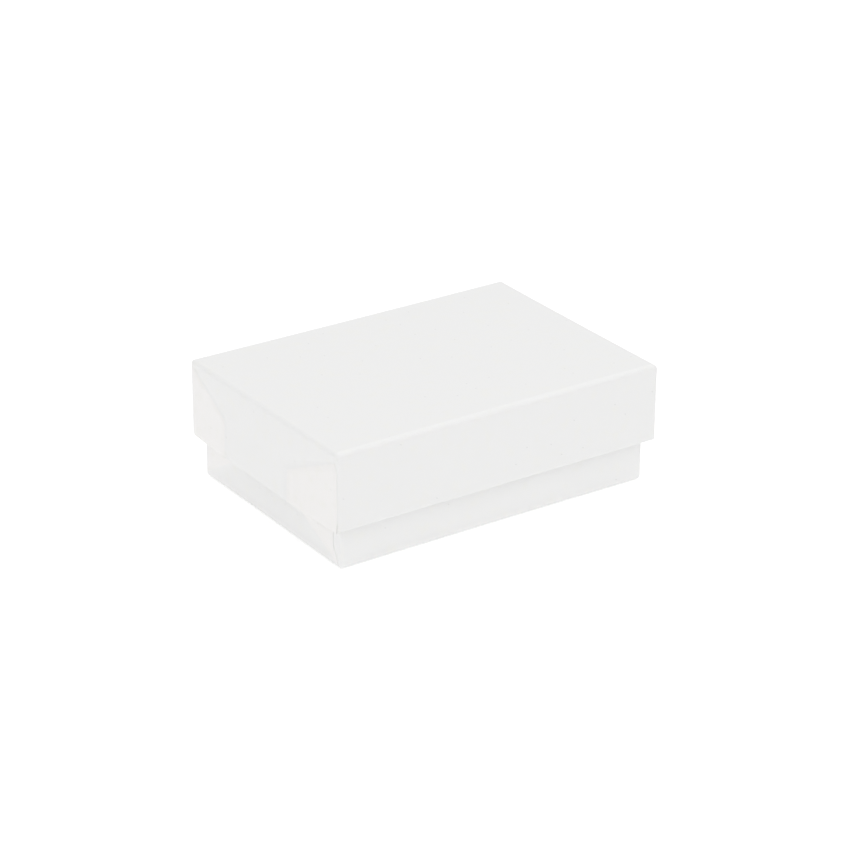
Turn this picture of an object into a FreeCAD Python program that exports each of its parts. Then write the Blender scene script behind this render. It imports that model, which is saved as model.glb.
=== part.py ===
"""Small two-piece jewellery gift box: a telescoping lid over a tray, with a lift-out foam pad.

Both shells are built alike. A grey board blank is scored and folded up, its four corners
are held by stays of gummed tape, and one sheet of paper wraps the outside, goes round the
walls' free edges and turns in on the inside. A lining sheet covers each panel's inner face.

Units are millimetres. X runs along the box's length, Y along its width and Z up. The origin
is the centre of the face that the box rests on.
"""

import FreeCAD, Part
import math
import os

# Outside of the closed box, over the paper. The length is the one at the corners.
LENGTH = 82.0
WIDTH = 57.8
HEIGHT = 27.4
LID_DEPTH = 17.6  # from the top of the lid to the free edge of its walls
LID_BULGE = 0.8  # how far a lid's end wall bows out at the middle of its free edge
BASE_INSET = 2.0  # from a wall of the lid to the same wall of the base, all round

# Sheet materials.
BOARD = 1.1
PAPER = 0.15
TAPE = 0.12
LINING = 0.12

# Folds and edges.
FOLD_RADIUS = 1.1  # outside of the paper, at the upright corners and round the panel
RIM_RADIUS = 0.3  # where the paper goes round a wall's free edge
LID_SEAT = 0.03  # air between the tray's rim and the lid's lining

# The wrap's glued parts.
TURN_IN = 14.0  # how far the paper comes back down the inside of a wall
TAB_WIDTH = 16.0  # corner tab under an end flap, measured from the corner
TAB_MITRE = 9.0  # how far down a tab's slanted top runs

# Corner stays.
STAY_LEG = 9.5
STAY_MARGIN = 0.8  # from the stay's ends to the wall's ends

# Lining sheets stop short of the walls.
LINING_MARGIN = 0.3

# Foam pad with a flocked face.
FOAM_HEIGHT = 13.0
FLOCK = 0.8
PAD_GAP = 0.35  # between the pad and the tray's walls
PAD_LIFT_OFF = 0.03  # air between the pad and the tray's lining
PAD_CORNER_RADIUS = 1.2
SLIT_WIDTH = 1.2
SLIT_DEPTH = 10.5
RING_SLIT_LENGTH = 26.0
EARRING_SPACING = 38.0
EARRING_SLIT_LENGTH = 4.5
CHAIN_SLIT_LENGTH = 11.0
CHAIN_SLIT_FROM_CORNER = 9.0  # from the pad's corner to the slit's middle, along the diagonal

OVERCUT = 1.0  # how far a cutting tool runs past what it cuts
UP = FreeCAD.Vector(0, 0, 1)


def centred_box(length, width, z_low, z_high):
    """A box centred on the Z axis, between two heights."""
    corner = FreeCAD.Vector(-length / 2, -width / 2, z_low)
    return Part.makeBox(length, width, z_high - z_low, corner)


def edges_where(shape, wanted):
    """The edges of a shape whose two end points both pass a test."""
    return [e for e in shape.Edges if all(wanted(v.Point) for v in e.Vertexes)]


def upright_edges(shape):
    """The straight edges that run along Z."""
    found = []
    for edge in shape.Edges:
        first, last = edge.Vertexes[0].Point, edge.Vertexes[-1].Point
        if abs(abs(last.z - first.z) - edge.Length) < 1e-6 and edge.Length > 1e-6:
            found.append(edge)
    return found


def section(length, width, z, bulge):
    """A closed outline at one height, whose two short sides bow out at their middle."""
    x, y = length / 2, width / 2
    edges = []
    for side in (-1, 1):
        start = FreeCAD.Vector(-side * x, side * y, z)
        corner = FreeCAD.Vector(side * x, side * y, z)
        end = FreeCAD.Vector(side * x, -side * y, z)
        edges.append(Part.makeLine(start, corner))
        if bulge > 0:
            middle = FreeCAD.Vector(side * (x + bulge), 0, z)
            edges.append(Part.Arc(corner, middle, end).toShape())
        else:
            edges.append(Part.makeLine(corner, end))
    return Part.Wire(edges)


class Shell:
    """The sizes of one half of the box, worked out from the outside in."""

    def __init__(self, length, width, z_panel, z_rim, bulge=0.0):
        self.length, self.width, self.bulge = length, width, bulge
        self.z_panel, self.z_rim = z_panel, z_rim
        self.inward = 1 if z_rim > z_panel else -1  # from the panel towards the rim
        # An end wall carries the corner tabs and then the end flap: two layers of paper.
        self.board_length = length - 4 * PAPER
        self.board_width = width - 2 * PAPER
        self.board_z_panel = z_panel + self.inward * PAPER
        self.board_z_rim = z_rim - self.inward * PAPER
        self.hollow_length = self.board_length - 2 * BOARD
        self.hollow_width = self.board_width - 2 * BOARD
        self.hollow_z = self.board_z_panel + self.inward * BOARD
        self.clear_length = self.hollow_length - 2 * PAPER
        self.clear_width = self.hollow_width - 2 * PAPER

    def between(self, length, width, z_one, z_two):
        """A block between two heights given in either order, as long as this at its corners.

        Its end faces bow out as the end walls do: not at the panel, and fully at the rim.
        """
        z_low, z_high = sorted((z_one, z_two))
        if self.bulge == 0:
            return centred_box(length, width, z_low, z_high)
        z_past_rim = self.z_rim + self.inward * OVERCUT
        bulge_past_rim = self.bulge * (z_past_rim - self.z_panel) / (self.z_rim - self.z_panel)
        at_panel = section(length, width, self.z_panel, 0)
        past_rim = section(length, width, z_past_rim, bulge_past_rim)
        full_height = Part.makeLoft([at_panel, past_rim], True, True)
        return full_height.common(centred_box(2 * length, width, z_low, z_high))

    def folded_block(self, length, width, z_panel, z_rim, radius):
        """A block with rounded upright edges, and with rounded edges round its closed face."""
        block = self.between(length, width, z_panel, z_rim)
        block = block.makeFillet(radius, upright_edges(block))
        around_panel = edges_where(block, lambda p: abs(p.z - z_panel) < 1e-6)
        return block.makeFillet(radius, around_panel)

    def board_envelope(self):
        """The outside of the folded board, filled in."""
        return self.folded_block(
            self.board_length,
            self.board_width,
            self.board_z_panel,
            self.board_z_rim,
            FOLD_RADIUS - PAPER,
        )

    def stays(self):
        """Four strips of tape, each bent round an upright corner of the board."""
        inner = self.folded_block(
            self.board_length - 2 * TAPE,
            self.board_width - 2 * TAPE,
            self.board_z_panel,
            self.board_z_rim,
            FOLD_RADIUS - PAPER - TAPE,
        )
        skin = self.board_envelope().cut(inner)
        z_panel_end = self.hollow_z + self.inward * (STAY_MARGIN - BOARD / 2)
        z_rim_end = self.board_z_rim - self.inward * STAY_MARGIN
        strips = []
        for side_x, side_y in ((-1, -1), (1, -1), (1, 1), (-1, 1)):
            region = self.between(2 * STAY_LEG, 2 * STAY_LEG, z_panel_end, z_rim_end)
            corner = FreeCAD.Vector(side_x * self.board_length / 2, side_y * self.board_width / 2, 0)
            region.translate(corner)
            strips.append(skin.common(region))
        return strips

    def board(self, stays):
        """The folded blank, with a shallow bed pressed into each corner by its stay."""
        hollow = self.between(
            self.hollow_length,
            self.hollow_width,
            self.hollow_z,
            self.board_z_rim + self.inward * OVERCUT,
        )
        blank = self.board_envelope().cut(hollow)
        for stay in stays:
            blank = blank.cut(stay)
        return blank

    def flap_hollow(self, side_x):
        """The shallow step in an end flap where no corner tab lies under it."""
        x_inner = side_x * (self.length / 2 - 2 * PAPER)
        reach = side_x * (2 * PAPER + self.bulge + OVERCUT)
        z_top = self.z_panel + self.inward * FOLD_RADIUS
        z_mitre = z_top + self.inward * TAB_MITRE
        z_end = self.z_rim + self.inward * OVERCUT
        y_top = self.width / 2 - FOLD_RADIUS
        y_tab = self.width / 2 - TAB_WIDTH
        outline = [(-y_top, z_top), (-y_tab, z_mitre), (-y_tab, z_end)]
        outline += [(-y, z) for y, z in reversed(outline)]
        points = [FreeCAD.Vector(x_inner, y, z) for y, z in outline]
        face = Part.Face(Part.makePolygon(points + points[:1]))
        lower_layer = self.between(self.length - 2 * PAPER, self.width, self.z_panel, z_end)
        return face.extrude(FreeCAD.Vector(reach, 0, 0)).cut(lower_layer)

    def wrap(self):
        """The paper sheet: panel, four flaps, the edge round the rim, and the turn-in."""
        outside = self.folded_block(
            self.length, self.width, self.z_panel, self.z_rim, FOLD_RADIUS
        )
        around_rim = edges_where(outside, lambda p: abs(p.z - self.z_rim) < 1e-6)
        outside = outside.makeFillet(RIM_RADIUS, around_rim)
        z_turn_end = self.z_rim - self.inward * TURN_IN
        mouth = self.between(
            self.clear_length,
            self.clear_width,
            self.board_z_rim,
            self.z_rim + self.inward * OVERCUT,
        )
        turn_in = self.between(
            self.hollow_length, self.hollow_width, z_turn_end, self.board_z_rim
        ).cut(
            self.between(
                self.clear_length,
                self.clear_width,
                z_turn_end - self.inward * OVERCUT,
                self.board_z_rim + self.inward * OVERCUT,
            )
        )
        sheet = outside.cut(self.board_envelope()).cut(mouth).fuse(turn_in)
        for side_x in (-1, 1):
            sheet = sheet.cut(self.flap_hollow(side_x))
        return sheet.removeSplitter()

    def lining(self):
        """The sheet glued to the inner face of the panel."""
        return centred_box(
            self.hollow_length - 2 * LINING_MARGIN,
            self.hollow_width - 2 * LINING_MARGIN,
            *sorted((self.hollow_z, self.hollow_z + self.inward * LINING)),
        )


def slit(length, z_bottom, z_top, x=0.0, y=0.0, degrees=0.0):
    """A tool for a die-cut slit with round ends, standing at x, y and turned about Z."""
    half = (length - SLIT_WIDTH) / 2
    bar = centred_box(2 * half, SLIT_WIDTH, z_bottom, z_top)
    for end in (-half, half):
        foot = FreeCAD.Vector(end, 0, z_bottom)
        bar = bar.fuse(Part.makeCylinder(SLIT_WIDTH / 2, z_top - z_bottom, foot, UP))
    bar = bar.removeSplitter()
    bar.rotate(FreeCAD.Vector(0, 0, 0), UP, degrees)
    bar.translate(FreeCAD.Vector(x, y, 0))
    return bar


def pad_slits(z_bottom, z_top, pad_length, pad_width):
    """Every slit of the pad: one for a ring, two for ear studs, two for a chain."""
    slits = [slit(RING_SLIT_LENGTH, z_bottom, z_top)]
    for side in (-1, 1):
        x = side * EARRING_SPACING / 2
        slits.append(slit(EARRING_SLIT_LENGTH, z_bottom, z_top, x=x, degrees=90))
        reach = CHAIN_SLIT_FROM_CORNER * math.sqrt(0.5)
        slits.append(
            slit(
                CHAIN_SLIT_LENGTH,
                z_bottom,
                z_top,
                x=side * (pad_length / 2 - reach),
                y=pad_width / 2 - reach,
                degrees=-45 * side,
            )
        )
    return slits


def pad(tray):
    """The foam block and its flocked face, both cut through by the slits."""
    length = tray.clear_length - 2 * PAD_GAP
    width = tray.clear_width - 2 * PAD_GAP
    z_foam = tray.hollow_z + LINING + PAD_LIFT_OFF
    z_flock = z_foam + FOAM_HEIGHT
    z_face = z_flock + FLOCK
    layers = []
    for z_low, z_high in ((z_foam, z_flock), (z_flock, z_face)):
        layer = centred_box(length, width, z_low, z_high)
        layer = layer.makeFillet(PAD_CORNER_RADIUS, upright_edges(layer))
        for tool in pad_slits(z_face - SLIT_DEPTH, z_face + OVERCUT, length, width):
            layer = layer.cut(tool)
        layers.append(layer)
    return layers


def shell_nodes(name, shell):
    """The named solids of one half of the box."""
    stays = shell.stays()
    nodes = {
        f"{name}_board": shell.board(stays),
        f"{name}_wrap": shell.wrap(),
        f"{name}_lining": shell.lining(),
    }
    corners = ("front_left", "front_right", "back_right", "back_left")
    for corner, stay in zip(corners, stays):
        nodes[f"{name}_corner_stay_{corner}"] = stay
    return nodes


def main():
    os.makedirs("parts", exist_ok=True)
    lid = Shell(LENGTH, WIDTH, HEIGHT, HEIGHT - LID_DEPTH, LID_BULGE)
    rim = lid.hollow_z - LINING - LID_SEAT
    tray = Shell(LENGTH - 2 * BASE_INSET, WIDTH - 2 * BASE_INSET, 0.0, rim)
    nodes = {**shell_nodes("base", tray), **shell_nodes("lid", lid)}
    nodes["pad_foam"], nodes["pad_flock_face"] = pad(tray)
    for name, shape in nodes.items():
        solids = shape.Solids
        box = shape.BoundBox
        print(
            f"{name}: {len(solids)} solid, valid {shape.isValid()}, {shape.Volume:.1f} mm3,"
            f" x {box.XMin:.2f}..{box.XMax:.2f} y {box.YMin:.2f}..{box.YMax:.2f}"
            f" z {box.ZMin:.2f}..{box.ZMax:.2f}"
        )
        solids[0].exportStep(os.path.join("parts", f"{name}.step"))


main()
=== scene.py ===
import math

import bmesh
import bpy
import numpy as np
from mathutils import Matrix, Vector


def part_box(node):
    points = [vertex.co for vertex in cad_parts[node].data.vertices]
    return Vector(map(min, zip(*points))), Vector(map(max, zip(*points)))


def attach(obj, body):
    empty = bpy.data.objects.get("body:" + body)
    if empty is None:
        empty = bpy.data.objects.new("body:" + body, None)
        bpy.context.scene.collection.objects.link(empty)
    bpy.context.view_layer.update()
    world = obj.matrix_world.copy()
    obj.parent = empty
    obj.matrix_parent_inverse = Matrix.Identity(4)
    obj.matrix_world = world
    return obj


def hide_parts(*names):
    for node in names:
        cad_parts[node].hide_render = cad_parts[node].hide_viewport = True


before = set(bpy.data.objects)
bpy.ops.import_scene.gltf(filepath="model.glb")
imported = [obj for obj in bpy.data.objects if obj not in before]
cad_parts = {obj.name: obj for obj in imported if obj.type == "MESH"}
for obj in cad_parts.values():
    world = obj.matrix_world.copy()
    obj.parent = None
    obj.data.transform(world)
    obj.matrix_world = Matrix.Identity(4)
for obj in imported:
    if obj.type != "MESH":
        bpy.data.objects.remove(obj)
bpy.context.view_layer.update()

# The looks of a small two-piece jewellery gift box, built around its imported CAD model.
#
# Each half of the box is a folded board with one sheet of white paper round it. The paper's
# end flaps are glued over corner tabs, and all four walls' paper turns in round the rim. The
# board, the sheet and every layer of it are laid out by the same rules: a ring of columns runs
# round the box, and each column's rows run from the panel over the fold, down the wall, round
# the rim and up the inside. Lengths are in metres.

MM = 0.001

# Sheet materials. The CAD leaves PAPER_ROOM for each layer of paper.
PAPER = 0.12 * MM
PAPER_ROOM = 0.15 * MM
GLUE = 0.005 * MM
BOARD = 1.1 * MM
LINING_MARGIN = 0.3 * MM

# Folds.
CORNER_RADIUS = 0.45 * MM  # of the board, at the upright corners
FOLD_RADIUS = 0.8 * MM  # of the board, round the panel
FOLD_RADIUS_EXTRA = 0.2 * MM  # softer in the middle of an edge
RIM_RADIUS = 0.14 * MM
SHARPEST = 0.1 * MM  # smallest radius that a turned-in corner is given
FLAP_EDGE_SHARE = 0.1  # of a flap's half width, which is drawn out or in to its cut edge
FLAP_WANDER = 0.05 * MM  # of that cut edge from a straight line
TURN_IN_GAP = 0.35 * MM  # from a flap's turn-in to the next wall's, at the rim
TURN_IN_TAPER = 0.04
SLIT_FLARE = 1.2 * MM  # how soon a flap's edge reaches its line, below the slit's start
FOLD_HIGHLIGHT_FADE = 0.5 * MM  # how far past a fold its painted highlight ends
SHORT_FOLD_HIGHLIGHT = 0.2  # of the painted highlight on the long folds
WRAP_ROUND = 0.95  # radians: furthest that the end of a flap goes round an upright corner
TURN_IN = 14.0 * MM
BORDER = 3.0 * MM  # the panel's outermost strip, which belongs to the ring

# The lid's end walls bow out at the middle of their free edge.
LID_BULGE = 0.8 * MM

# How finely the ring is divided.
LONG_STEP = 1.6 * MM
CORNER_STEPS = 8
FOLD_STEPS = 8
RIM_STEPS = 4
WALL_ROWS = 10
FLAP_ROWS_ABOVE, FLAP_ROWS_BELOW = 4, 7  # of the tab's top edge
TURN_ROWS = 6
PANEL_STEPS = (0.0, 0.45, 0.8)
RELIEF = 0.15 * MM  # half the width of the step where paper goes over the edge of a tab

# The lining, and the pad in the tray.
LINING_SLACK = 0.02 * MM
LINING_CORNER = 1.6 * MM
EARRING_AT = 19.0 * MM  # the ear-stud slits stand this far each side of the middle
SLIT_DEPTH = 9.8 * MM
SLIT_OPEN = 0.42 * MM  # half a slit's width in the middle of its lips
WALL_HOLLOW = 0.3 * MM
# Rows of the pad's outer walls, below its top. They are scaled to the pad's height.
WALL_DROPS = np.array([0.0, 0.35, 1.2, 2.6, 4.4, 6.4, 8.4, 10.2, 11.6, 12.4]) * MM
SWELL = 0.45 * MM
EDGE_ROUNDING = 0.5 * MM  # how far the pad's top edge is drawn in
PAD_COLUMNS = 15  # from the edge to the ear-stud slits, and from there to the middle
PAD_ROWS = 40
RING_SLIT_HALF, EARRING_SLIT_HALF, CHAIN_SLIT = 10, 2, 6  # in steps of the pad's grid
CHAIN_SLIT_START = (22, 18)  # from the middle of the pad, in steps
SLIT_SHARES = (0.12, 0.35, 0.65, 1.0)  # of the slit's depth, where its walls have rows
SLIT_HELD = 0.3  # share of the depth below which a slit's walls are held
SIMULATION_SCALE = 10.0
SIMULATION_FRAMES = 20

# The view.
CAMERA_AZIMUTH, CAMERA_ELEVATION, CAMERA_ROLL = -34.3545, 24.8308, 0.3651  # degrees
CAMERA_DISTANCE = 664.56 * MM
AIM_RIGHT, AIM_UP = 0.28 * MM, 11.35 * MM  # of the origin, to where the camera points
LENS = 129.4  # mm, on a sensor 36 mm wide

TRAY_PAINTED_LIGHT = 1.028  # painted light: the tray's paper colour is scaled up this much against the shade under the lid's rim, for 1.0 on the lid

# Light. The tent's glows are (direction, how narrow, how bright).
TENT = 0.54
TENT_GLOWS = (((0, 0, 1), 2.0, 0.58), ((0.7, 0, 0.7), 4.0, 0.392), ((-0.7, 0, 0.7), 4.0, 0.297))
FLOOR_GLOW = 0.205  # the floor is lit from below, most under the box
FLOOR_GLOW_NEAR = 0.29
FLOOR_GLOW_RADIUS = 100 * MM
FLOOR_GAP = 0.02 * MM


def ripple(points, wavelength, seed):
    """Smooth noise from -1 to 1 at each point: a few sine waves in scattered directions."""
    rng = np.random.default_rng(seed)
    total = np.zeros(points.shape[:-1])
    waves = 6
    for _ in range(waves):
        direction = rng.normal(size=3)
        direction /= np.linalg.norm(direction)
        frequency = 2 * math.pi / (wavelength * rng.uniform(0.7, 1.5))
        total += np.sin(points @ direction * frequency + rng.uniform(0, 2 * math.pi))
    return total / waves


def smooth(t):
    """0 below 0, 1 above 1, and a soft ramp between."""
    t = np.clip(t, 0, 1)
    return t * t * (3 - 2 * t)


class Tab:
    """A corner tab under an end flap: its width, and the slanted line its top is cut to."""

    def __init__(self, width, start, slope):
        self.width, self.start, self.slope = width, start, slope

    def top(self, from_corner):
        """How far below the panel the tab's top edge is, at a distance from the corner."""
        return self.start + self.slope * np.clip(from_corner, 0, self.width)


class Shell:
    """One half of the box: the sizes of its board, and how points are placed about it."""

    def __init__(self, name, bulge, tabs, flap_short):
        """flap_short is how far each flap's edge stops short of its corner.

        It goes round from the front left corner: front left, front right, back right, back left.
        """
        lining_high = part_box(f"{name}_lining")[1]
        wrap_low, wrap_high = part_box(f"{name}_wrap")
        self.name, self.bulge = name, bulge
        self.front_tab, self.back_tab = tabs
        front_left, front_right, back_right, back_left = flap_short
        self.flap_short = {-1: (front_left, back_left), 1: (front_right, back_right)}
        self.x = lining_high.x + LINING_MARGIN + BOARD
        self.y = lining_high.y + LINING_MARGIN + BOARD
        self.is_lid = name == "lid"
        self.inward = -1 if self.is_lid else 1
        outer, rim = (wrap_high.z, wrap_low.z) if self.is_lid else (wrap_low.z, wrap_high.z)
        self.z_panel = outer + self.inward * PAPER_ROOM
        self.depth = abs(rim - outer) - 2 * PAPER_ROOM
        self.end_reach = self.y - CORNER_RADIUS
        self.seed = 11 if self.is_lid else 47

    def place(self, x, y, depth):
        """Points from a position in plan and a depth below the panel, with the walls' bulge."""
        along = 1 - np.clip(y / self.y, -1, 1) ** 2
        lean = self.bulge * np.clip(depth / self.depth, 0, 1) * along
        x = x + lean * x / self.x
        z = self.z_panel + self.inward * depth
        return np.stack([x, y, np.broadcast_to(z, x.shape)], axis=-1)

    def fold_radius(self, share):
        """The fold's radius along an edge of the panel, where share runs from -1 to 1."""
        middle = np.clip(1 - share * share, 0, 1)
        return FOLD_RADIUS + FOLD_RADIUS_EXTRA * middle


class Columns:
    """A run of the ring: each column's place on a rounded rectangle, and its outward normal."""

    def __init__(self, side, u=None):
        quarter = side * math.pi / 2
        along = np.array([math.cos(quarter), math.sin(quarter)])
        out = np.array([math.sin(quarter), -math.cos(quarter)])
        if u is None:
            turn = np.linspace(0, math.pi / 2, CORNER_STEPS + 1)[:, None]
            self.at = np.repeat([along + out], CORNER_STEPS + 1, axis=0)
            self.normal = np.cos(turn) * out + np.sin(turn) * along
            self.u = np.ones(CORNER_STEPS + 1)
        else:
            self.at = np.asarray(u)[:, None] * along + out
            self.normal = np.repeat([out], len(u), axis=0)
            self.u = np.asarray(u)


def section_rows(shell, radius, wall, turn_in=TURN_IN):
    """The board's section for each column, as arrays of one row per column.

    Gives inset, depth, and the outward normal as (share towards the outside, share up off the
    panel). A sheet lies at a height above this along the normal. wall holds depths, one row
    per column.
    """
    radius = np.broadcast_to(radius, (len(wall),))[:, None]
    one = np.ones_like(radius)
    fold = np.linspace(0, math.pi / 2, FOLD_STEPS + 1)[None, :]
    arc = np.linspace(0, math.pi / 2, RIM_STEPS + 1)[None, :]
    steps = np.array(PANEL_STEPS)[None, :]
    depth = shell.depth
    parts = [
        (BORDER + (radius - BORDER) * steps, 0 * steps * one, 0 * steps * one, 1 + 0 * steps * one),
        (
            radius * (1 - np.sin(fold)),
            radius * (1 - np.cos(fold)),
            np.sin(fold) * one,
            np.cos(fold) * one,
        ),
        (0 * wall, wall, 1 + 0 * wall, 0 * wall),
        (
            RIM_RADIUS * (1 - np.cos(arc)) * one,
            (depth - RIM_RADIUS * (1 - np.sin(arc))) * one,
            np.cos(arc) * one,
            -np.sin(arc) * one,
        ),
        (
            (BOARD - RIM_RADIUS * (1 - np.sin(arc))) * one,
            (depth - RIM_RADIUS * (1 - np.cos(arc))) * one,
            -np.sin(arc) * one,
            -np.cos(arc) * one,
        ),
    ]
    ends = np.linspace(0, 1, TURN_ROWS + 1)[1:][None, :]
    parts.append(
        (
            BOARD + 0 * ends * one,
            (depth - RIM_RADIUS - (turn_in - RIM_RADIUS) * ends) * one,
            -1 + 0 * ends * one,
            0 * ends * one,
        )
    )
    return [np.concatenate([p[i] for p in parts], axis=1) for i in range(4)]


def ring_points(shell, columns, rows, height):
    """Points of a sheet at a height above the board's surface, on a run of the ring."""
    inset_core, depth_core, outward, upward = rows
    inset = inset_core - height * outward
    depth = depth_core - height * upward
    radius = np.maximum(CORNER_RADIUS - inset, SHARPEST)
    radius[:, : len(PANEL_STEPS)] *= np.array(PANEL_STEPS)[None, :]
    x = columns.at[:, :1] * (shell.x - inset - radius) + columns.normal[:, :1] * radius
    y = columns.at[:, 1:] * (shell.y - inset - radius) + columns.normal[:, 1:] * radius
    return shell.place(x, y, depth)


def tidy_mesh(name, patches, flip=False, weld=2e-6):
    """One mesh from grids of points, welded where they meet.

    Each patch is (points, {attribute: values}), with a value, row or grid of values per point.
    """
    bm = bmesh.new()
    marks = {key: bm.verts.layers.float.new(key) for key in patches[0][1]}
    for points, attributes in patches:
        grid = [[bm.verts.new(p) for p in line] for line in points.tolist()]
        for key, values in attributes.items():
            spread = np.broadcast_to(values, points.shape[:2])
            for line, line_values in zip(grid, spread.tolist()):
                for vert, value in zip(line, line_values):
                    vert[marks[key]] = value
        for left, right in zip(grid, grid[1:]):
            for i in range(len(left) - 1):
                bm.faces.new((left[i], right[i], right[i + 1], left[i + 1]))
    bmesh.ops.remove_doubles(bm, verts=bm.verts, dist=weld)
    bmesh.ops.dissolve_degenerate(bm, edges=bm.edges, dist=weld)
    if flip:
        bmesh.ops.reverse_faces(bm, faces=bm.faces)
    mesh = bpy.data.meshes.new(name)
    bm.to_mesh(mesh)
    bm.free()
    return mesh


def applied(obj, kind, **settings):
    """Adds a modifier to an object and applies it."""
    modifier = obj.modifiers.new("step", kind)
    for key, value in settings.items():
        setattr(modifier, key, value)
    graph = bpy.context.evaluated_depsgraph_get()
    obj.data = bpy.data.meshes.new_from_object(obj.evaluated_get(graph))
    obj.modifiers.clear()


def new_object(name, mesh):
    obj = bpy.data.objects.new(name, mesh)
    bpy.context.scene.collection.objects.link(obj)
    return obj


def shade(obj, sharp_degrees=38):
    """Smooth faces, with sharp edges where the surface turns by more than an angle."""
    bm = bmesh.new()
    bm.from_mesh(obj.data)
    limit = math.radians(sharp_degrees)
    for edge in bm.edges:
        edge.smooth = len(edge.link_faces) == 2 and edge.calc_face_angle(0) < limit
    for face in bm.faces:
        face.smooth = True
    bm.to_mesh(obj.data)
    bm.free()


def sheet_object(name, mesh, thickness):
    """An object made of a sheet of that thickness, whose outer face the mesh is."""
    obj = new_object(name, mesh)
    applied(obj, "SOLIDIFY", thickness=thickness, offset=-1, use_even_offset=True)
    shade(obj)
    return obj


def even(low, high, step):
    """Evenly spaced values from low to high, about a step apart."""
    return np.linspace(low, high, max(2, math.ceil((high - low) / step) + 1))


def across_end(shell):
    """Where the columns of an end wall stand, from front to back, and which side of a tab."""
    front = shell.y - shell.front_tab.width
    back = shell.y - shell.back_tab.width
    reach = shell.end_reach
    close = np.array([0.0, 0.15, 0.3, 0.5, 0.8]) * MM
    runs = [
        close - reach,
        even(-reach + LONG_STEP, -front - RELIEF, LONG_STEP),
        even(-front + RELIEF, back - RELIEF, LONG_STEP * 1.5),
        even(back + RELIEF, reach - LONG_STEP, LONG_STEP),
        reach - close[::-1],
    ]
    return np.concatenate(runs) / reach


def wall_depths(count, low, high):
    """Evenly spaced rows of a wall for each of count columns."""
    rows = np.linspace(0, 1, WALL_ROWS + 2)[1:-1]
    low = np.broadcast_to(low, (count,))[:, None]
    return low + (high - low) * rows[None, :]


def tab_edges(shell, y):
    """Depth of the tabs' top edge at each column, and whether a tab lies under the column."""
    from_front, from_back = y + shell.y, shell.y - y
    front = shell.front_tab.top(from_front)
    back = shell.back_tab.top(from_back)
    share = smooth((y + shell.y) / (2 * shell.y))
    blend = np.where(share < 0.5, front, back)
    middle = (from_front > shell.front_tab.width) & (from_back > shell.back_tab.width)
    low, high = -shell.y + shell.front_tab.width, shell.y - shell.back_tab.width
    mix = np.clip((y - low) / (high - low), 0, 1)
    top = np.where(middle, front * (1 - mix) + back * mix, blend)
    return top, ~middle


def sheet_height(points, shell, layers):
    """How high a sheet's outer face lies over the board where it covers so many layers."""
    slack = PAPER_ROOM - PAPER - 2 * GLUE
    loose = slack * 0.5 * (1 + ripple(points, 16 * MM, shell.seed))
    return layers * (PAPER + GLUE) + loose


def fold_share(rows, radius):
    """1 on the fold round the panel, falling to 0 a little way off it and down its wall side."""
    inset, depth, upward = rows[0], rows[1], rows[3]
    radius = np.broadcast_to(radius, (len(inset),))[:, None]
    off_fold = np.maximum(inset - radius, depth - radius)
    return (1 - smooth(off_fold / FOLD_HIGHLIGHT_FADE)) * smooth(1.7 * upward)


def wrap(shell):
    """The sheet of paper round one half: panel, walls with tabs, and end flaps over the tabs."""
    u_long = even(-1, 1, LONG_STEP / shell.x)
    u_short = across_end(shell)
    patches = []
    rim = shell.depth - RIM_RADIUS

    # Long walls and the corners beside them lie straight on the board.
    for side, u in ((0, u_long), (0, None), (1, None), (2, u_long), (2, None), (3, None)):
        columns = Columns(side, u)
        radius = shell.fold_radius(columns.u)
        rows = section_rows(shell, radius, wall_depths(len(radius), radius, rim))
        flat = ring_points(shell, columns, rows, PAPER)
        points = ring_points(shell, columns, rows, sheet_height(flat, shell, 1))
        patches.append((points, {"layers": 0, "fold": fold_share(rows, radius)}))

    # Tabs run on from the corners, under the end flaps.
    for side_x in (-1, 1):
        for side_y, tab in ((-1, shell.front_tab), (1, shell.back_tab)):
            points = tab_points(shell, side_x, side_y, tab, rim)
            patches.append((points, {"layers": 0, "fold": 0}))

    # End flaps: over the tabs near the corners, and on the board between them.
    for side_x in (-1, 1):
        points, cover, fold = flap_points(shell, side_x, u_short, rim)
        patches.append((points, {"layers": cover, "fold": fold}))

    # The panel.
    x, y = u_long * (shell.x - BORDER), u_short * (shell.y - BORDER)
    grid_x, grid_y = np.meshgrid(x, y, indexing="ij")
    flat = shell.place(grid_x, grid_y, -PAPER + 0 * grid_x)
    points = shell.place(grid_x, grid_y, -sheet_height(flat, shell, 1))
    patches.append((points[::-1], {"layers": 0, "fold": 0}))
    mesh = tidy_mesh(f"{shell.name}_paper", patches, flip=shell.is_lid)
    return sheet_object(f"{shell.name}_paper", mesh, PAPER)


def tab_points(shell, side_x, side_y, tab, rim):
    """A corner tab, from the upright corner towards the middle of the end wall."""
    from_corner = even(0, tab.width - CORNER_RADIUS, LONG_STEP)
    count = len(from_corner)
    radius = shell.fold_radius(np.ones(count))
    rows = section_rows(shell, radius, wall_depths(count, radius, rim))
    inset, depth, outward, upward = rows
    top = tab.top(from_corner + CORNER_RADIUS)
    first = len(PANEL_STEPS)
    inset, depth = inset[:, first:], depth[:, first:]
    outward, upward = outward[:, first:], upward[:, first:]
    on_wall = np.arange(inset.shape[1])[None, :] <= FOLD_STEPS + WALL_ROWS
    above = on_wall & (depth < top[:, None])
    inset = np.where(above, 0, inset)
    outward = np.where(above, 1, outward)
    upward = np.where(above, 0, upward)
    depth = np.where(above, top[:, None], depth)

    def lay(height):
        sheet_inset = inset - height * outward
        radii = np.maximum(CORNER_RADIUS - sheet_inset, SHARPEST)
        y = side_y * (shell.y - sheet_inset - radii - from_corner[:, None])
        return shell.place(side_x * (shell.x - sheet_inset), y, depth - height * upward)

    points = lay(sheet_height(lay(PAPER), shell, 1))
    if side_x * side_y > 0:
        points = points[::-1]
    return points


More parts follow.
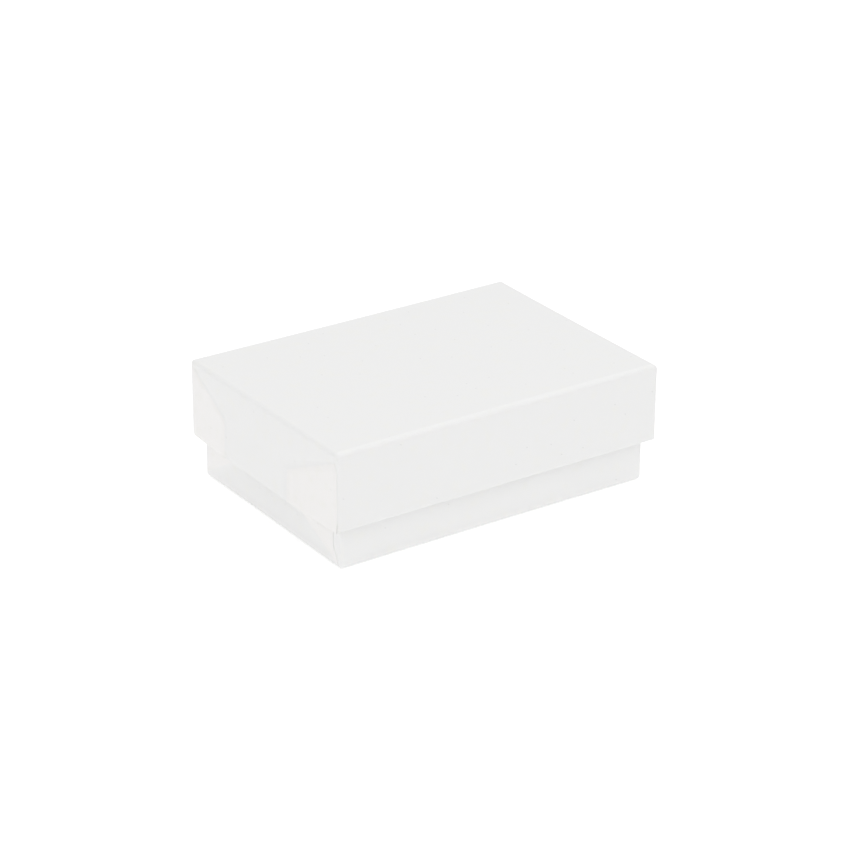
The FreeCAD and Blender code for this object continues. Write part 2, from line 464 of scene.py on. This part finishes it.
def flap_points(shell, side_x, u_short, rim):
    """An end flap, from front to back on the right and from back to front on the left."""
    u = u_short if side_x > 0 else u_short[::-1]
    radius = shell.fold_radius(u)
    top, over_tab = tab_edges(shell, u * shell.end_reach)
    top = np.maximum(top, radius + 2 * RELIEF)
    upper = np.linspace(0, 1, FLAP_ROWS_ABOVE + 1)[1:][None, :]
    lower = np.linspace(0, 1, FLAP_ROWS_BELOW + 1)[:-1][None, :]
    wall = np.concatenate(
        [
            radius[:, None] + (top - RELIEF - radius)[:, None] * upper,
            (top + RELIEF)[:, None] + (rim - top - RELIEF)[:, None] * lower,
        ],
        axis=1,
    )
    rows = section_rows(shell, radius, wall)
    inset, depth, outward, upward = rows
    flap_start = len(PANEL_STEPS)
    past_fold = np.arange(inset.shape[1])[None, :] > flap_start
    past_wall = np.arange(inset.shape[1])[None, :] > flap_start + FOLD_STEPS + wall.shape[1]
    cover = over_tab[:, None] & past_fold & ((depth > top[:, None]) | past_wall)

    def lay(height):
        sheet_inset = inset - height * outward
        radii = np.maximum(CORNER_RADIUS - sheet_inset, SHARPEST)
        radii[:, :flap_start] *= np.array(PANEL_STEPS)[None, :]
        ring = shell.y - sheet_inset - radii
        edge = flap_edge(shell, side_x, u, inset, depth, past_wall, ring)
        stretch = np.clip((np.abs(u) - (1 - FLAP_EDGE_SHARE)) / FLAP_EDGE_SHARE, 0, 1)[:, None]
        y = u[:, None] * ring
        y = y + np.where(past_fold, np.sign(u)[:, None] * stretch * (edge - ring), 0)
        # What reaches past the board's straight wall bends round the upright corner.
        bend_radius = CORNER_RADIUS + height
        bend_start = shell.y - CORNER_RADIUS
        turned = np.clip((np.abs(y) - bend_start) / bend_radius, 0, WRAP_ROUND)
        turned = np.where(past_fold & ~past_wall, turned, 0)
        y = np.where(turned > 0, np.sign(y) * (bend_start + bend_radius * np.sin(turned)), y)
        sheet_inset = sheet_inset + bend_radius * (1 - np.cos(turned))
        return shell.place(side_x * (shell.x - sheet_inset), y, depth - height * upward)

    height = sheet_height(lay(PAPER), shell, 1 + cover)
    # The end flaps' folds get a fifth of the long folds' painted highlight.
    return lay(height), cover, SHORT_FOLD_HIGHLIGHT * fold_share(rows, radius)


def flap_edge(shell, side_x, u, inset, depth, past_wall, ring):
    """How far out the flap's cut side edges are, for each row."""
    short_front, short_back = shell.flap_short[side_x]
    short = np.where(u < 0, short_front, short_back)[:, None]
    sample = np.stack([0 * depth + u[:, None], depth, inset], axis=-1)
    wander = FLAP_WANDER * (1 + ripple(sample, 7 * MM, shell.seed + 3))
    outer = shell.y + PAPER_ROOM - short - wander
    slit_start = np.where(
        u < 0, shell.front_tab.top(CORNER_RADIUS), shell.back_tab.top(CORNER_RADIUS)
    )
    opening = smooth((depth - slit_start[:, None]) / SLIT_FLARE)
    on_wall = ring + (outer - ring) * opening
    taper = TURN_IN_TAPER * (shell.depth - depth)
    inner = shell.y - BOARD - PAPER - TURN_IN_GAP - taper - wander
    across = np.clip(inset / BOARD, 0, 1)
    return np.where(past_wall, outer + (inner - outer) * across, on_wall)


def rounded(x, y, half_x, half_y, radius):
    """Moves the points near a rectangle's corners so that the corners are round."""
    over_x, over_y = np.abs(x) - (half_x - radius), np.abs(y) - (half_y - radius)
    reach = np.hypot(over_x, over_y)
    near = (over_x > 0) & (over_y > 0)
    shrink = np.where(near, np.maximum(over_x, over_y) / np.maximum(reach, 1e-9), 1)
    new_x = np.where(near, np.sign(x) * (half_x - radius + over_x * shrink), x)
    new_y = np.where(near, np.sign(y) * (half_y - radius + over_y * shrink), y)
    return new_x, new_y


def lining(shell):
    """The sheet glued inside a panel: die-cut, with round corners and not quite straight."""
    low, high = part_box(f"{shell.name}_lining")
    x, y = even(low.x, high.x, 2 * MM), even(low.y, high.y, 2 * MM)
    grid_x, grid_y = np.meshgrid(x, y, indexing="ij")
    grid_x, grid_y = rounded(grid_x, grid_y, high.x, high.y, LINING_CORNER)
    flat = np.stack([grid_x, grid_y, 0 * grid_x], axis=-1)
    trim = 1 - 0.0022 * (1 + ripple(flat, 30 * MM, shell.seed + 5))
    face = low.z if shell.is_lid else high.z
    lift = LINING_SLACK * (1 + ripple(flat, 18 * MM, shell.seed + 6)) / 2
    z = face - shell.inward * lift
    points = np.stack([grid_x * trim, grid_y * trim, z], axis=-1)
    mesh = tidy_mesh(f"{shell.name}_lining_sheet", [(points, {})], flip=shell.is_lid)
    return sheet_object(f"{shell.name}_lining_sheet", mesh, high.z - low.z - LINING_SLACK)


class Cut:
    """A slit in the pad, along corners of its grid from one end to the other."""

    def __init__(self, start, step, count):
        self.corners = [(start[0] + step[0] * k, start[1] + step[1] * k) for k in range(count + 1)]
        self.step = step

    def side_of(self, corner, middle):
        """Which side of the cut a face's middle is on, seen from one of the cut's corners."""
        turn = self.step[0] * (middle[1] - corner[1]) - self.step[1] * (middle[0] - corner[0])
        return 1 if turn > 0 else -1


def pad_cuts(centre_x, centre_y):
    """The pad's five slits: one for a ring, two for ear studs and two for a chain."""
    cuts = [Cut((centre_x - RING_SLIT_HALF, centre_y), (1, 0), 2 * RING_SLIT_HALF)]
    for side in (-1, 1):
        at_earring = (centre_x + PAD_COLUMNS * side, centre_y - EARRING_SLIT_HALF)
        cuts.append(Cut(at_earring, (0, 1), 2 * EARRING_SLIT_HALF))
        at_chain = (centre_x + CHAIN_SLIT_START[0] * side, centre_y + CHAIN_SLIT_START[1])
        cuts.append(Cut(at_chain, (side, -1), CHAIN_SLIT))
    return cuts


def slit_walls(bm, cut, verts, x, y, top):
    """Builds a slit's walls, which close to a line at the bottom, and returns the held points."""
    loop = [(corner, 1) for corner in cut.corners[1:-1]]
    back = [(corner, -1) for corner in cut.corners[-2:0:-1]]
    ring = [(cut.corners[0], 0), *loop, (cut.corners[-1], 0), *back]
    lips = above = [verts[key] for key in ring]
    held = []
    for share in SLIT_SHARES:
        level = []
        for (corner, _), lip in zip(ring, lips):
            middle = np.array([x[corner[0]], y[corner[1]]])
            at = middle + (np.array(lip.co[:2]) - middle) * (1 - share) ** 0.7
            level.append(bm.verts.new((*at, top - share * SLIT_DEPTH)))
        join_rings(bm, above, level)
        above = level
        if share > SLIT_HELD:
            held += level
    return held


def join_rings(bm, above, below):
    """A band of faces between two closed rings of points."""
    for k in range(len(above)):
        n = (k + 1) % len(above)
        bm.faces.new((above[n], above[k], below[k], below[n]))


def outer_walls(bm, above, low, high, top):
    """Walls a little hollow between top and bottom, as foam is after the knife.

    above is the ring round the top. Its points are drawn in, and the lowest ring is returned.
    """
    half_x, half_y = high.x, high.y
    edge = [np.array(v.co) for v in above]
    drops = WALL_DROPS * (top - low.z - 0.3 * MM) / WALL_DROPS[-1]
    drops[-1] = top - low.z
    for k, v in enumerate(above):
        v.co = edge[k] * np.array([1 - EDGE_ROUNDING / half_x, 1 - EDGE_ROUNDING / half_y, 1])
    for row, drop in enumerate(drops[1:]):
        share = drop / drops[-1]
        hollow = WALL_HOLLOW * math.sin(math.pi * min(1, share * 1.05)) + 0.2 * MM * (share > 0.99)
        inset = hollow + (0.12 * MM if row == 0 else 0.02 * MM)
        level = []
        for at in edge:
            on_side = np.abs(at) > np.array([half_x, half_y, 1]) - 1e-6
            moved = at - np.array([np.sign(at[0]), np.sign(at[1]), 0]) * inset * on_side
            moved[0], moved[1] = rounded(
                moved[0], moved[1], half_x - inset, half_y - inset, 1.2 * MM
            )
            level.append(bm.verts.new((moved[0], moved[1], top - drop)))
        join_rings(bm, above, level)
        above = level
    return above


def pad_mesh(low, high, top):
    """The foam block, its slits open, and the indices of its top faces and of its held points.

    The grid is cut along the slits: a corner inside a slit becomes two, one for each lip.
    """
    half = high.x
    x = np.concatenate(
        [
            -np.linspace(half, EARRING_AT, PAD_COLUMNS + 1),
            np.linspace(EARRING_AT, 0, PAD_COLUMNS + 1)[1:] * -1,
        ]
    )
    x = np.concatenate([x, -x[-2::-1]])
    y = np.linspace(low.y, high.y, PAD_ROWS + 1)
    cuts = pad_cuts(len(x) // 2, len(y) // 2)
    inside = {corner: cut for cut in cuts for corner in cut.corners[1:-1]}
    diagonals = {
        frozenset(pair) for cut in cuts for pair in zip(cut.corners, cut.corners[1:]) if all(cut.step)
    }

    bm = bmesh.new()
    verts = {}

    def vert(corner, middle):
        cut = inside.get(corner)
        side = cut.side_of(corner, middle) if cut else 0
        if (corner, side) not in verts:
            at = np.array([x[corner[0]], y[corner[1]]])
            if cut:
                at = at + slit_opening(cut, corner, x, y) * side
            verts[corner, side] = bm.verts.new((*at, top))
        return verts[corner, side]

    for i in range(len(x) - 1):
        for j in range(len(y) - 1):
            a, b, c, d = (i, j), (i + 1, j), (i + 1, j + 1), (i, j + 1)
            polygons = [(a, b, c, d)]
            if frozenset((a, c)) in diagonals:
                polygons = [(a, b, c), (a, c, d)]
            if frozenset((b, d)) in diagonals:
                polygons = [(a, b, d), (b, c, d)]
            for polygon in polygons:
                middle = np.mean(polygon, axis=0)
                bm.faces.new([vert(corner, middle) for corner in polygon])
    top_faces = len(bm.faces)

    held = []
    for cut in cuts:
        held += slit_walls(bm, cut, verts, x, y, top)

    last_x, last_y = len(x) - 1, len(y) - 1
    around = [(i, 0) for i in range(last_x)] + [(last_x, j) for j in range(last_y)]
    around += [(i, last_y) for i in range(last_x, 0, -1)] + [(0, j) for j in range(last_y, 0, -1)]
    above = outer_walls(bm, [verts[corner, 0] for corner in around], low, high, top)
    held += above

    # The bottom lies flat.
    bottom = {corner: v for corner, v in zip(around, above)}
    for i in range(1, last_x):
        for j in range(1, last_y):
            bottom[i, j] = bm.verts.new((x[i], y[j], low.z))
            held.append(bottom[i, j])
    for i in range(last_x):
        for j in range(last_y):
            corners = ((i, j), (i, j + 1), (i + 1, j + 1), (i + 1, j))
            bm.faces.new([bottom[corner] for corner in corners])
    bm.verts.index_update()
    held = [v.index for v in held]
    mesh = bpy.data.meshes.new("pad_foam_block")
    bm.to_mesh(mesh)
    bm.free()
    return mesh, top_faces, held


def slit_opening(cut, corner, x, y):
    """How far one lip of a slit stands off its middle line, at one of its corners."""
    share = cut.corners.index(corner) / (len(cut.corners) - 1) * 2 - 1
    along = np.array([cut.step[0] * (x[1] - x[0]), cut.step[1] * (y[1] - y[0])])
    across = np.array([-along[1], along[0]]) / np.linalg.norm(along)
    return across * SLIT_OPEN * (1 - share * share) ** 0.6


def swell(mesh, held, most):
    """Moves a closed mesh as foam under its skin swells: cloth with pressure inside, held points still.

    It runs ten times as large, where the solver is steady, and moves no point further than most.
    """
    blown_up = mesh.copy()
    blown_up.transform(Matrix.Scale(SIMULATION_SCALE, 4))
    obj = new_object("swelling", blown_up)
    group = obj.vertex_groups.new(name="held")
    group.add(held, 1.0, "REPLACE")
    cloth = obj.modifiers.new("swell", "CLOTH")
    cloth.settings.quality = 6
    cloth.settings.mass = 0.3
    cloth.settings.tension_stiffness = 12
    cloth.settings.compression_stiffness = 12
    cloth.settings.bending_stiffness = 4
    cloth.settings.use_pressure = True
    cloth.settings.uniform_pressure_force = 4
    cloth.settings.effector_weights.gravity = 0
    cloth.settings.vertex_group_mass = "held"
    cloth.point_cache.frame_start = 1
    cloth.point_cache.frame_end = SIMULATION_FRAMES
    for number in range(1, SIMULATION_FRAMES + 1):
        bpy.context.scene.frame_set(number)
    graph = bpy.context.evaluated_depsgraph_get()
    result = obj.evaluated_get(graph).to_mesh()
    rest, moved = (np.array([v.co for v in m.vertices]) for m in (mesh, result))
    obj.evaluated_get(graph).to_mesh_clear()
    bpy.data.objects.remove(obj)
    bpy.data.meshes.remove(blown_up)
    bpy.context.scene.frame_set(1)
    step = moved / SIMULATION_SCALE - rest
    length = np.maximum(np.linalg.norm(step, axis=1, keepdims=True), 1e-9)
    rest = rest + step / length * most * np.tanh(length / most)
    mesh.vertices.foreach_set("co", rest.ravel())
    mesh.update()


def pad():
    """The pad: the foam block, swollen against its skin, and the flock face on top of it."""
    low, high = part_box("pad_foam")
    flock_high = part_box("pad_flock_face")[1].z
    mesh, top_faces, held = pad_mesh(low, high, high.z - SWELL)
    swell(mesh, held, SWELL)
    bm = bmesh.new()
    bm.from_mesh(mesh)
    bm.faces.ensure_lookup_table()
    bmesh.ops.delete(bm, geom=bm.faces[top_faces:], context="FACES")
    bm.normal_update()
    for v in bm.verts:
        v.co += v.normal * (flock_high - high.z - 0.02 * MM)
    face_mesh = bpy.data.meshes.new("pad_flock_sheet")
    bm.to_mesh(face_mesh)
    bm.free()
    foam = new_object("pad_foam_block", mesh)
    flock = new_object("pad_flock_sheet", face_mesh)
    applied(flock, "SOLIDIFY", thickness=flock_high - high.z - 0.05 * MM, offset=-1)
    for obj in (foam, flock):
        applied(obj, "SUBSURF", levels=1, render_levels=1)
        shade(obj, 70)
    return foam, flock


class Look:
    """A material under construction: shorthands for its nodes."""

    def __init__(self, name, roughness):
        self.material = bpy.data.materials.new(name)
        self.material.use_nodes = True
        self.tree = self.material.node_tree
        self.shader = self.tree.nodes["Principled BSDF"]
        self.shader.inputs["Roughness"].default_value = roughness
        self.where = self.node("TexCoord").outputs["Object"]
        self.normal = None

    def node(self, kind, inputs=None, **settings):
        node = self.tree.nodes.new("ShaderNode" + kind)
        for key, value in settings.items():
            setattr(node, key, value)
        for key, value in (inputs or {}).items():
            if isinstance(value, bpy.types.NodeSocket):
                self.tree.links.new(value, node.inputs[key])
            else:
                node.inputs[key].default_value = value
        return node

    def noise(self, size, detail=3.0, stretch=(1, 1, 1)):
        """Soft noise about size metres across, longer along the axes with a stretch over 1."""
        scale = tuple(1 / (size * s) for s in stretch)
        place = self.node("Mapping", {"Vector": self.where, "Scale": scale})
        node = self.node(
            "TexNoise", {"Vector": place.outputs["Vector"], "Scale": 1.0, "Detail": detail}
        )
        return node.outputs["Fac"]

    def specks(self, spacing, radius, share):
        """1 on small round specks, about spacing apart, in a share of the cells.

        The cells are laid out on a plane askew to all three axes, so walls get round specks too.
        """
        across, down = (
            self.node("VectorMath", {0: self.where, 1: axis}, operation="DOT_PRODUCT")
            for axis in ((1, 0, 1), (0, 1, -1))
        )
        inputs = {"X": across.outputs["Value"], "Y": down.outputs["Value"]}
        flat = self.node("CombineXYZ", inputs).outputs["Vector"]
        node = self.node(
            "TexVoronoi", {"Vector": flat, "Scale": 1 / spacing}, voronoi_dimensions="2D"
        )
        near = self.remap(node.outputs["Distance"], radius / spacing, 0.4 * radius / spacing, 0, 1)
        chance = self.node("SeparateColor", {"Color": node.outputs["Color"]}).outputs["Red"]
        kept = self.remap(chance, share, share - 0.02, 0, 1)
        return self.math("MULTIPLY", near, kept)

    def attribute(self, name):
        return self.node("Attribute", attribute_name=name).outputs["Fac"]

    def remap(self, value, low, high, to_low, to_high):
        inputs = {0: value, 1: low, 2: high, 3: to_low, 4: to_high}
        return self.node("MapRange", inputs).outputs["Result"]

    def math(self, operation, a, b):
        return self.node("Math", {0: a, 1: b}, operation=operation).outputs["Value"]

    def total(self, *values):
        """The sum of values."""
        result = values[0]
        for value in values[1:]:
            result = self.math("ADD", result, value)
        return result

    def mix(self, factor, a, b):
        """From color a to color b."""
        inputs = {"Factor": factor}
        node = self.node("Mix", inputs, data_type="RGBA")
        for socket, value in ((node.inputs[6], a), (node.inputs[7], b)):
            if isinstance(value, bpy.types.NodeSocket):
                self.tree.links.new(value, socket)
            else:
                socket.default_value = (*value, 1)
        return node.outputs[2]

    def scaled(self, color, amount):
        node = self.node("VectorMath", {0: color, "Scale": amount}, operation="SCALE")
        return node.outputs["Vector"]

    def bump(self, height, depth, strength=1.0):
        """Adds relief depth metres high."""
        inputs = {"Height": height, "Distance": depth, "Strength": strength}
        if self.normal:
            inputs["Normal"] = self.normal
        self.normal = self.node("Bump", inputs).outputs["Normal"]

    def finish(self, color, roughness=None, **settings):
        """Links the color, roughness and relief, and sets the shader's uniform values."""
        self.tree.links.new(color, self.shader.inputs["Base Color"])
        if roughness is not None:
            self.tree.links.new(roughness, self.shader.inputs["Roughness"])
        if self.normal:
            self.tree.links.new(self.normal, self.shader.inputs["Normal"])
        for key, value in settings.items():
            self.shader.inputs[key.replace("_", " ")].default_value = value
        return self.material


def white_paper(name, painted_brightening):
    """Matt coated wrap paper: doubled sheets show brighter, and the long folds carry a streaky painted
    highlight. The whole colour is scaled by the second argument, which paints the tray's paper brighter
    as painted light.
    """
    look = Look(name, 0.5)
    single, doubled = np.array((0.838, 0.838, 0.835)), np.array((0.863, 0.852, 0.843))
    # The colour is scaled by the second argument: painted light, which makes the tray's paper brighter.
    color = look.mix(look.attribute("layers"), single * painted_brightening, doubled * painted_brightening)
    cloudy = look.noise(2.6 * MM, 3)
    yellowed = look.remap(cloudy, 0.52, 0.7, 0, 0.45)
    color = look.mix(yellowed, color, np.array((0.843, 0.838, 0.802)) * painted_brightening)
    # Painted highlight: the folds are painted 1 to 4 percent brighter, in streaks.
    highlight_streaks = look.remap(look.noise(0.3 * MM, 2), 0.35, 0.62, 0.012, 0.042)
    fold_highlight = look.math("MULTIPLY", look.attribute("fold"), highlight_streaks)
    # No specks on the folds, where their slanted pattern would be drawn out.
    strength = look.remap(look.attribute("fold"), 0, SHORT_FOLD_HIGHLIGHT, -0.14, 0)
    specks = look.math("MULTIPLY", look.specks(5.5 * MM, 0.2 * MM, 0.3), strength)
    color = look.scaled(color, look.total(1.0, fold_highlight, specks))
    look.bump(look.noise(0.16 * MM, 2), 0.006 * MM)
    roughness = look.remap(cloudy, 0.3, 0.7, 0.46, 0.56)
    return look.finish(color, roughness, Specular_IOR_Level=0.35)


def greyboard():
    """Grey-brown pulp board, with pale and dark fibres and a few flecks."""
    look = Look("greyboard", 0.9)
    pulp = look.mix(look.noise(6 * MM, 4), (0.30, 0.275, 0.24), (0.38, 0.35, 0.31))
    fibres = look.remap(look.noise(0.35 * MM, 4, (4, 1, 1.5)), 0.35, 0.7, -0.22, 0.22)
    cross = look.remap(look.noise(0.3 * MM, 4, (1, 4, 3)), 0.35, 0.7, -0.15, 0.15)
    flecks = look.math("MULTIPLY", look.specks(1.6 * MM, 0.12 * MM, 0.35), -0.55)
    pale = look.math("MULTIPLY", look.specks(2.1 * MM, 0.16 * MM, 0.3), 0.5)
    color = look.scaled(pulp, look.total(1.0, fibres, cross, flecks, pale))
    look.bump(look.noise(0.3 * MM, 4, (3, 1, 1)), 0.04 * MM)
    look.bump(look.noise(1.6 * MM, 3), 0.05 * MM)
    return look.finish(color, look.remap(look.noise(0.8 * MM), 0.3, 0.7, 0.82, 0.95))


def kraft_tape():
    """Gummed brown paper tape, with fine ribs across it."""
    look = Look("kraft_tape", 0.6)
    brown = look.mix(look.noise(4 * MM, 3), (0.40, 0.25, 0.13), (0.50, 0.33, 0.18))
    ribs = look.noise(0.12 * MM, 2, (1, 1, 30))
    fibres = look.remap(look.noise(0.25 * MM, 4, (5, 5, 1)), 0.35, 0.7, -0.12, 0.12)
    color = look.scaled(brown, look.total(1.0, fibres, look.remap(ribs, 0.3, 0.7, -0.06, 0.06)))
    look.bump(ribs, 0.02 * MM)
    return look.finish(color, look.remap(look.noise(0.9 * MM), 0.3, 0.7, 0.5, 0.68))


def lining_paper():
    """Uncoated white paper, softer and less even than the wrap."""
    look = Look("lining_paper", 0.85)
    white = look.mix(look.noise(9 * MM, 3), (0.78, 0.775, 0.755), (0.81, 0.805, 0.79))
    fibres = look.remap(look.noise(0.4 * MM, 4, (3, 1, 1)), 0.35, 0.7, -0.02, 0.02)
    color = look.scaled(white, look.total(1.0, fibres))
    look.bump(look.noise(0.22 * MM, 4, (2, 1, 1)), 0.012 * MM)
    return look.finish(color, look.remap(look.noise(1.2 * MM), 0.3, 0.7, 0.78, 0.92))


def foam_look():
    """Charcoal open-cell foam: small pits with soft rims, painted darker inside as painted shade."""
    look = Look("foam", 0.95)
    cells = look.node("TexVoronoi", {"Vector": look.where, "Scale": 1 / (0.55 * MM)},
                      feature="SMOOTH_F1").outputs["Distance"]
    pores = look.remap(cells, 0.15, 0.62, 0, 1)
    cloudy = look.remap(look.noise(5 * MM, 3), 0.3, 0.7, 0.9, 1.12)
    # Painted shade: the pits are painted darker than their rims.
    color = look.mix(pores, (0.016, 0.016, 0.017), (0.062, 0.062, 0.066))
    look.bump(pores, 0.16 * MM)
    return look.finish(look.scaled(color, cloudy), Specular_IOR_Level=0.2)


def flock_look():
    """Black flocking: short upright fibres, brushed a little to and fro."""
    look = Look("flock", 0.95)
    brushed = look.remap(look.noise(8 * MM, 3, (1.6, 1, 1)), 0.36, 0.64, 0, 1)
    pile = look.noise(0.32 * MM, 3)
    color = look.mix(brushed, (0.006, 0.006, 0.007), (0.019, 0.019, 0.021))
    lint = look.math("MULTIPLY", look.specks(5.5 * MM, 0.11 * MM, 0.3), 5)
    flicker = look.remap(pile, 0.36, 0.64, -0.75, 0.95)
    color = look.scaled(color, look.total(1.0, flicker, lint))
    look.bump(pile, 0.06 * MM)
    return look.finish(color, Specular_IOR_Level=0.08, Sheen_Weight=0.22, Sheen_Roughness=0.55)


def add_camera():
    """The view: a long lens, from the front left and above."""
    azimuth, elevation = math.radians(CAMERA_AZIMUTH), math.radians(CAMERA_ELEVATION)
    roll = math.radians(CAMERA_ROLL)
    back = Vector(
        (
            math.sin(azimuth) * math.cos(elevation),
            -math.cos(azimuth) * math.cos(elevation),
            math.sin(elevation),
        )
    )
    right = Vector((math.cos(azimuth), math.sin(azimuth), 0))
    up = back.cross(right)
    camera = bpy.data.objects.new("camera", bpy.data.cameras.new("camera"))
    bpy.context.scene.collection.objects.link(camera)
    camera.data.sensor_width = 36
    camera.data.lens = LENS
    camera.data.clip_start = 0.05
    camera.data.clip_end = 20
    tilted_right = right * math.cos(roll) + up * math.sin(roll)
    tilted_up = up * math.cos(roll) - right * math.sin(roll)
    pose = Matrix((tilted_right, tilted_up, back)).transposed().to_4x4()
    pose.translation = back * CAMERA_DISTANCE + right * AIM_RIGHT + up * AIM_UP
    camera.matrix_world = pose
    bpy.context.scene.camera = camera


def softbox(direction, distance, size, watts):
    """A square area light that points at the box from a direction."""
    light = bpy.data.lights.new("softbox", "AREA")
    light.shape = "SQUARE"
    light.size = size
    light.energy = watts
    obj = bpy.data.objects.new("softbox", light)
    bpy.context.scene.collection.objects.link(obj)
    toward = Vector(direction).normalized()
    obj.location = toward * distance
    obj.rotation_mode = "QUATERNION"
    obj.rotation_quaternion = toward.to_track_quat("Z", "Y")


def add_studio():
    """A white tent, brighter overhead and to both sides, a softbox in front and a lit floor."""
    world = bpy.data.worlds.new("studio")
    world.use_nodes = True
    bpy.context.scene.world = world
    bpy.context.scene.view_settings.view_transform = "Standard"
    tree = world.node_tree
    direction = tree.nodes.new("ShaderNodeTexCoord").outputs["Generated"]
    total = TENT
    for toward, power, strength in TENT_GLOWS:
        steps = (
            ("VectorMath", "DOT_PRODUCT", direction, Vector(toward).normalized()),
            ("Math", "MAXIMUM", None, 0.0),
            ("Math", "POWER", None, power),
            ("Math", "MULTIPLY", None, strength),
            ("Math", "ADD", None, total),
        )
        value = None
        for kind, operation, first, second in steps:
            node = tree.nodes.new("ShaderNode" + kind)
            node.operation = operation
            tree.links.new(first or value, node.inputs[0])
            if isinstance(second, bpy.types.NodeSocket):
                tree.links.new(second, node.inputs[1])
            else:
                node.inputs[1].default_value = second
            value = node.outputs["Value"]
        total = value
    tree.links.new(total, tree.nodes["Background"].inputs["Strength"])
    tree.nodes["Background"].inputs["Color"].default_value = (1, 1, 1, 1)
    softbox(direction=(0, -0.5, 0.87), distance=1.2, size=0.75, watts=0.75)

    mesh = bpy.data.meshes.new("floor")
    bm = bmesh.new()
    bmesh.ops.create_grid(bm, x_segments=1, y_segments=1, size=3.0)
    bm.to_mesh(mesh)
    bm.free()
    floor = new_object("floor", mesh)
    floor.location.z = -FLOOR_GAP
    look = Look("floor", 0.9)
    speckle = look.remap(look.noise(40 * MM, 2), 0.3, 0.7, 0.94, 0.95)
    color = look.node("CombineColor", {"Red": speckle, "Green": speckle, "Blue": speckle})
    white = (1, 1, 1, 1)
    look.finish(color.outputs["Color"], Emission_Color=white)
    from_box = look.node("VectorMath", {0: look.where}, operation="LENGTH").outputs["Value"]
    glow = look.remap(from_box, 0, FLOOR_GLOW_RADIUS, FLOOR_GLOW_NEAR, FLOOR_GLOW)
    look.tree.links.new(glow, look.shader.inputs["Emission Strength"])
    floor.data.materials.append(look.material)


lid = Shell(
    "lid",
    bulge=LID_BULGE,
    tabs=(Tab(18.0 * MM, 1.7 * MM, 0.466), Tab(14.4 * MM, 0.9 * MM, 0.55)),
    flap_short=(0.0, 1.4 * MM, 0.7 * MM, 1.1 * MM),
)
tray = Shell(
    "base",
    bulge=0.0,
    tabs=(Tab(17.0 * MM, 0.8 * MM, 0.45), Tab(14.0 * MM, 0.8 * MM, 0.6)),
    flap_short=(2.4 * MM, 1.2 * MM, 1.7 * MM, 1.4 * MM),
)

add_camera()
add_studio()
board, tape, plain = greyboard(), kraft_tape(), lining_paper()
whites = {
    "lid": white_paper("lid_paper", 1.0),
    # The tray's paper gets a brighter colour than the lid's: painted light against the shade under the
    # lid's rim.
    "base": white_paper("base_paper", TRAY_PAINTED_LIGHT),
}
for shell in (lid, tray):
    paper = wrap(shell)
    sheet = lining(shell)
    for piece, material, node, slot in (
        (paper, whites[shell.name], f"{shell.name}_wrap", f"{shell.name}_paper"),
        (sheet, plain, f"{shell.name}_lining", "lining_paper"),
    ):
        piece.data.materials.append(material)
        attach(piece, shell.name)
        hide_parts(node)

foam, flock = pad()
for piece, material, node, slot in (
    (foam, foam_look(), "pad_foam", "pad_foam"),
    (flock, flock_look(), "pad_flock_face", "pad_flock"),
):
    piece.data.materials.append(material)
    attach(piece, "pad")
    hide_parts(node)

for name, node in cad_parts.items():
    if name.endswith("_board") or "_stay_" in name:
        node.material_slots[0].material = board if name.endswith("_board") else tape
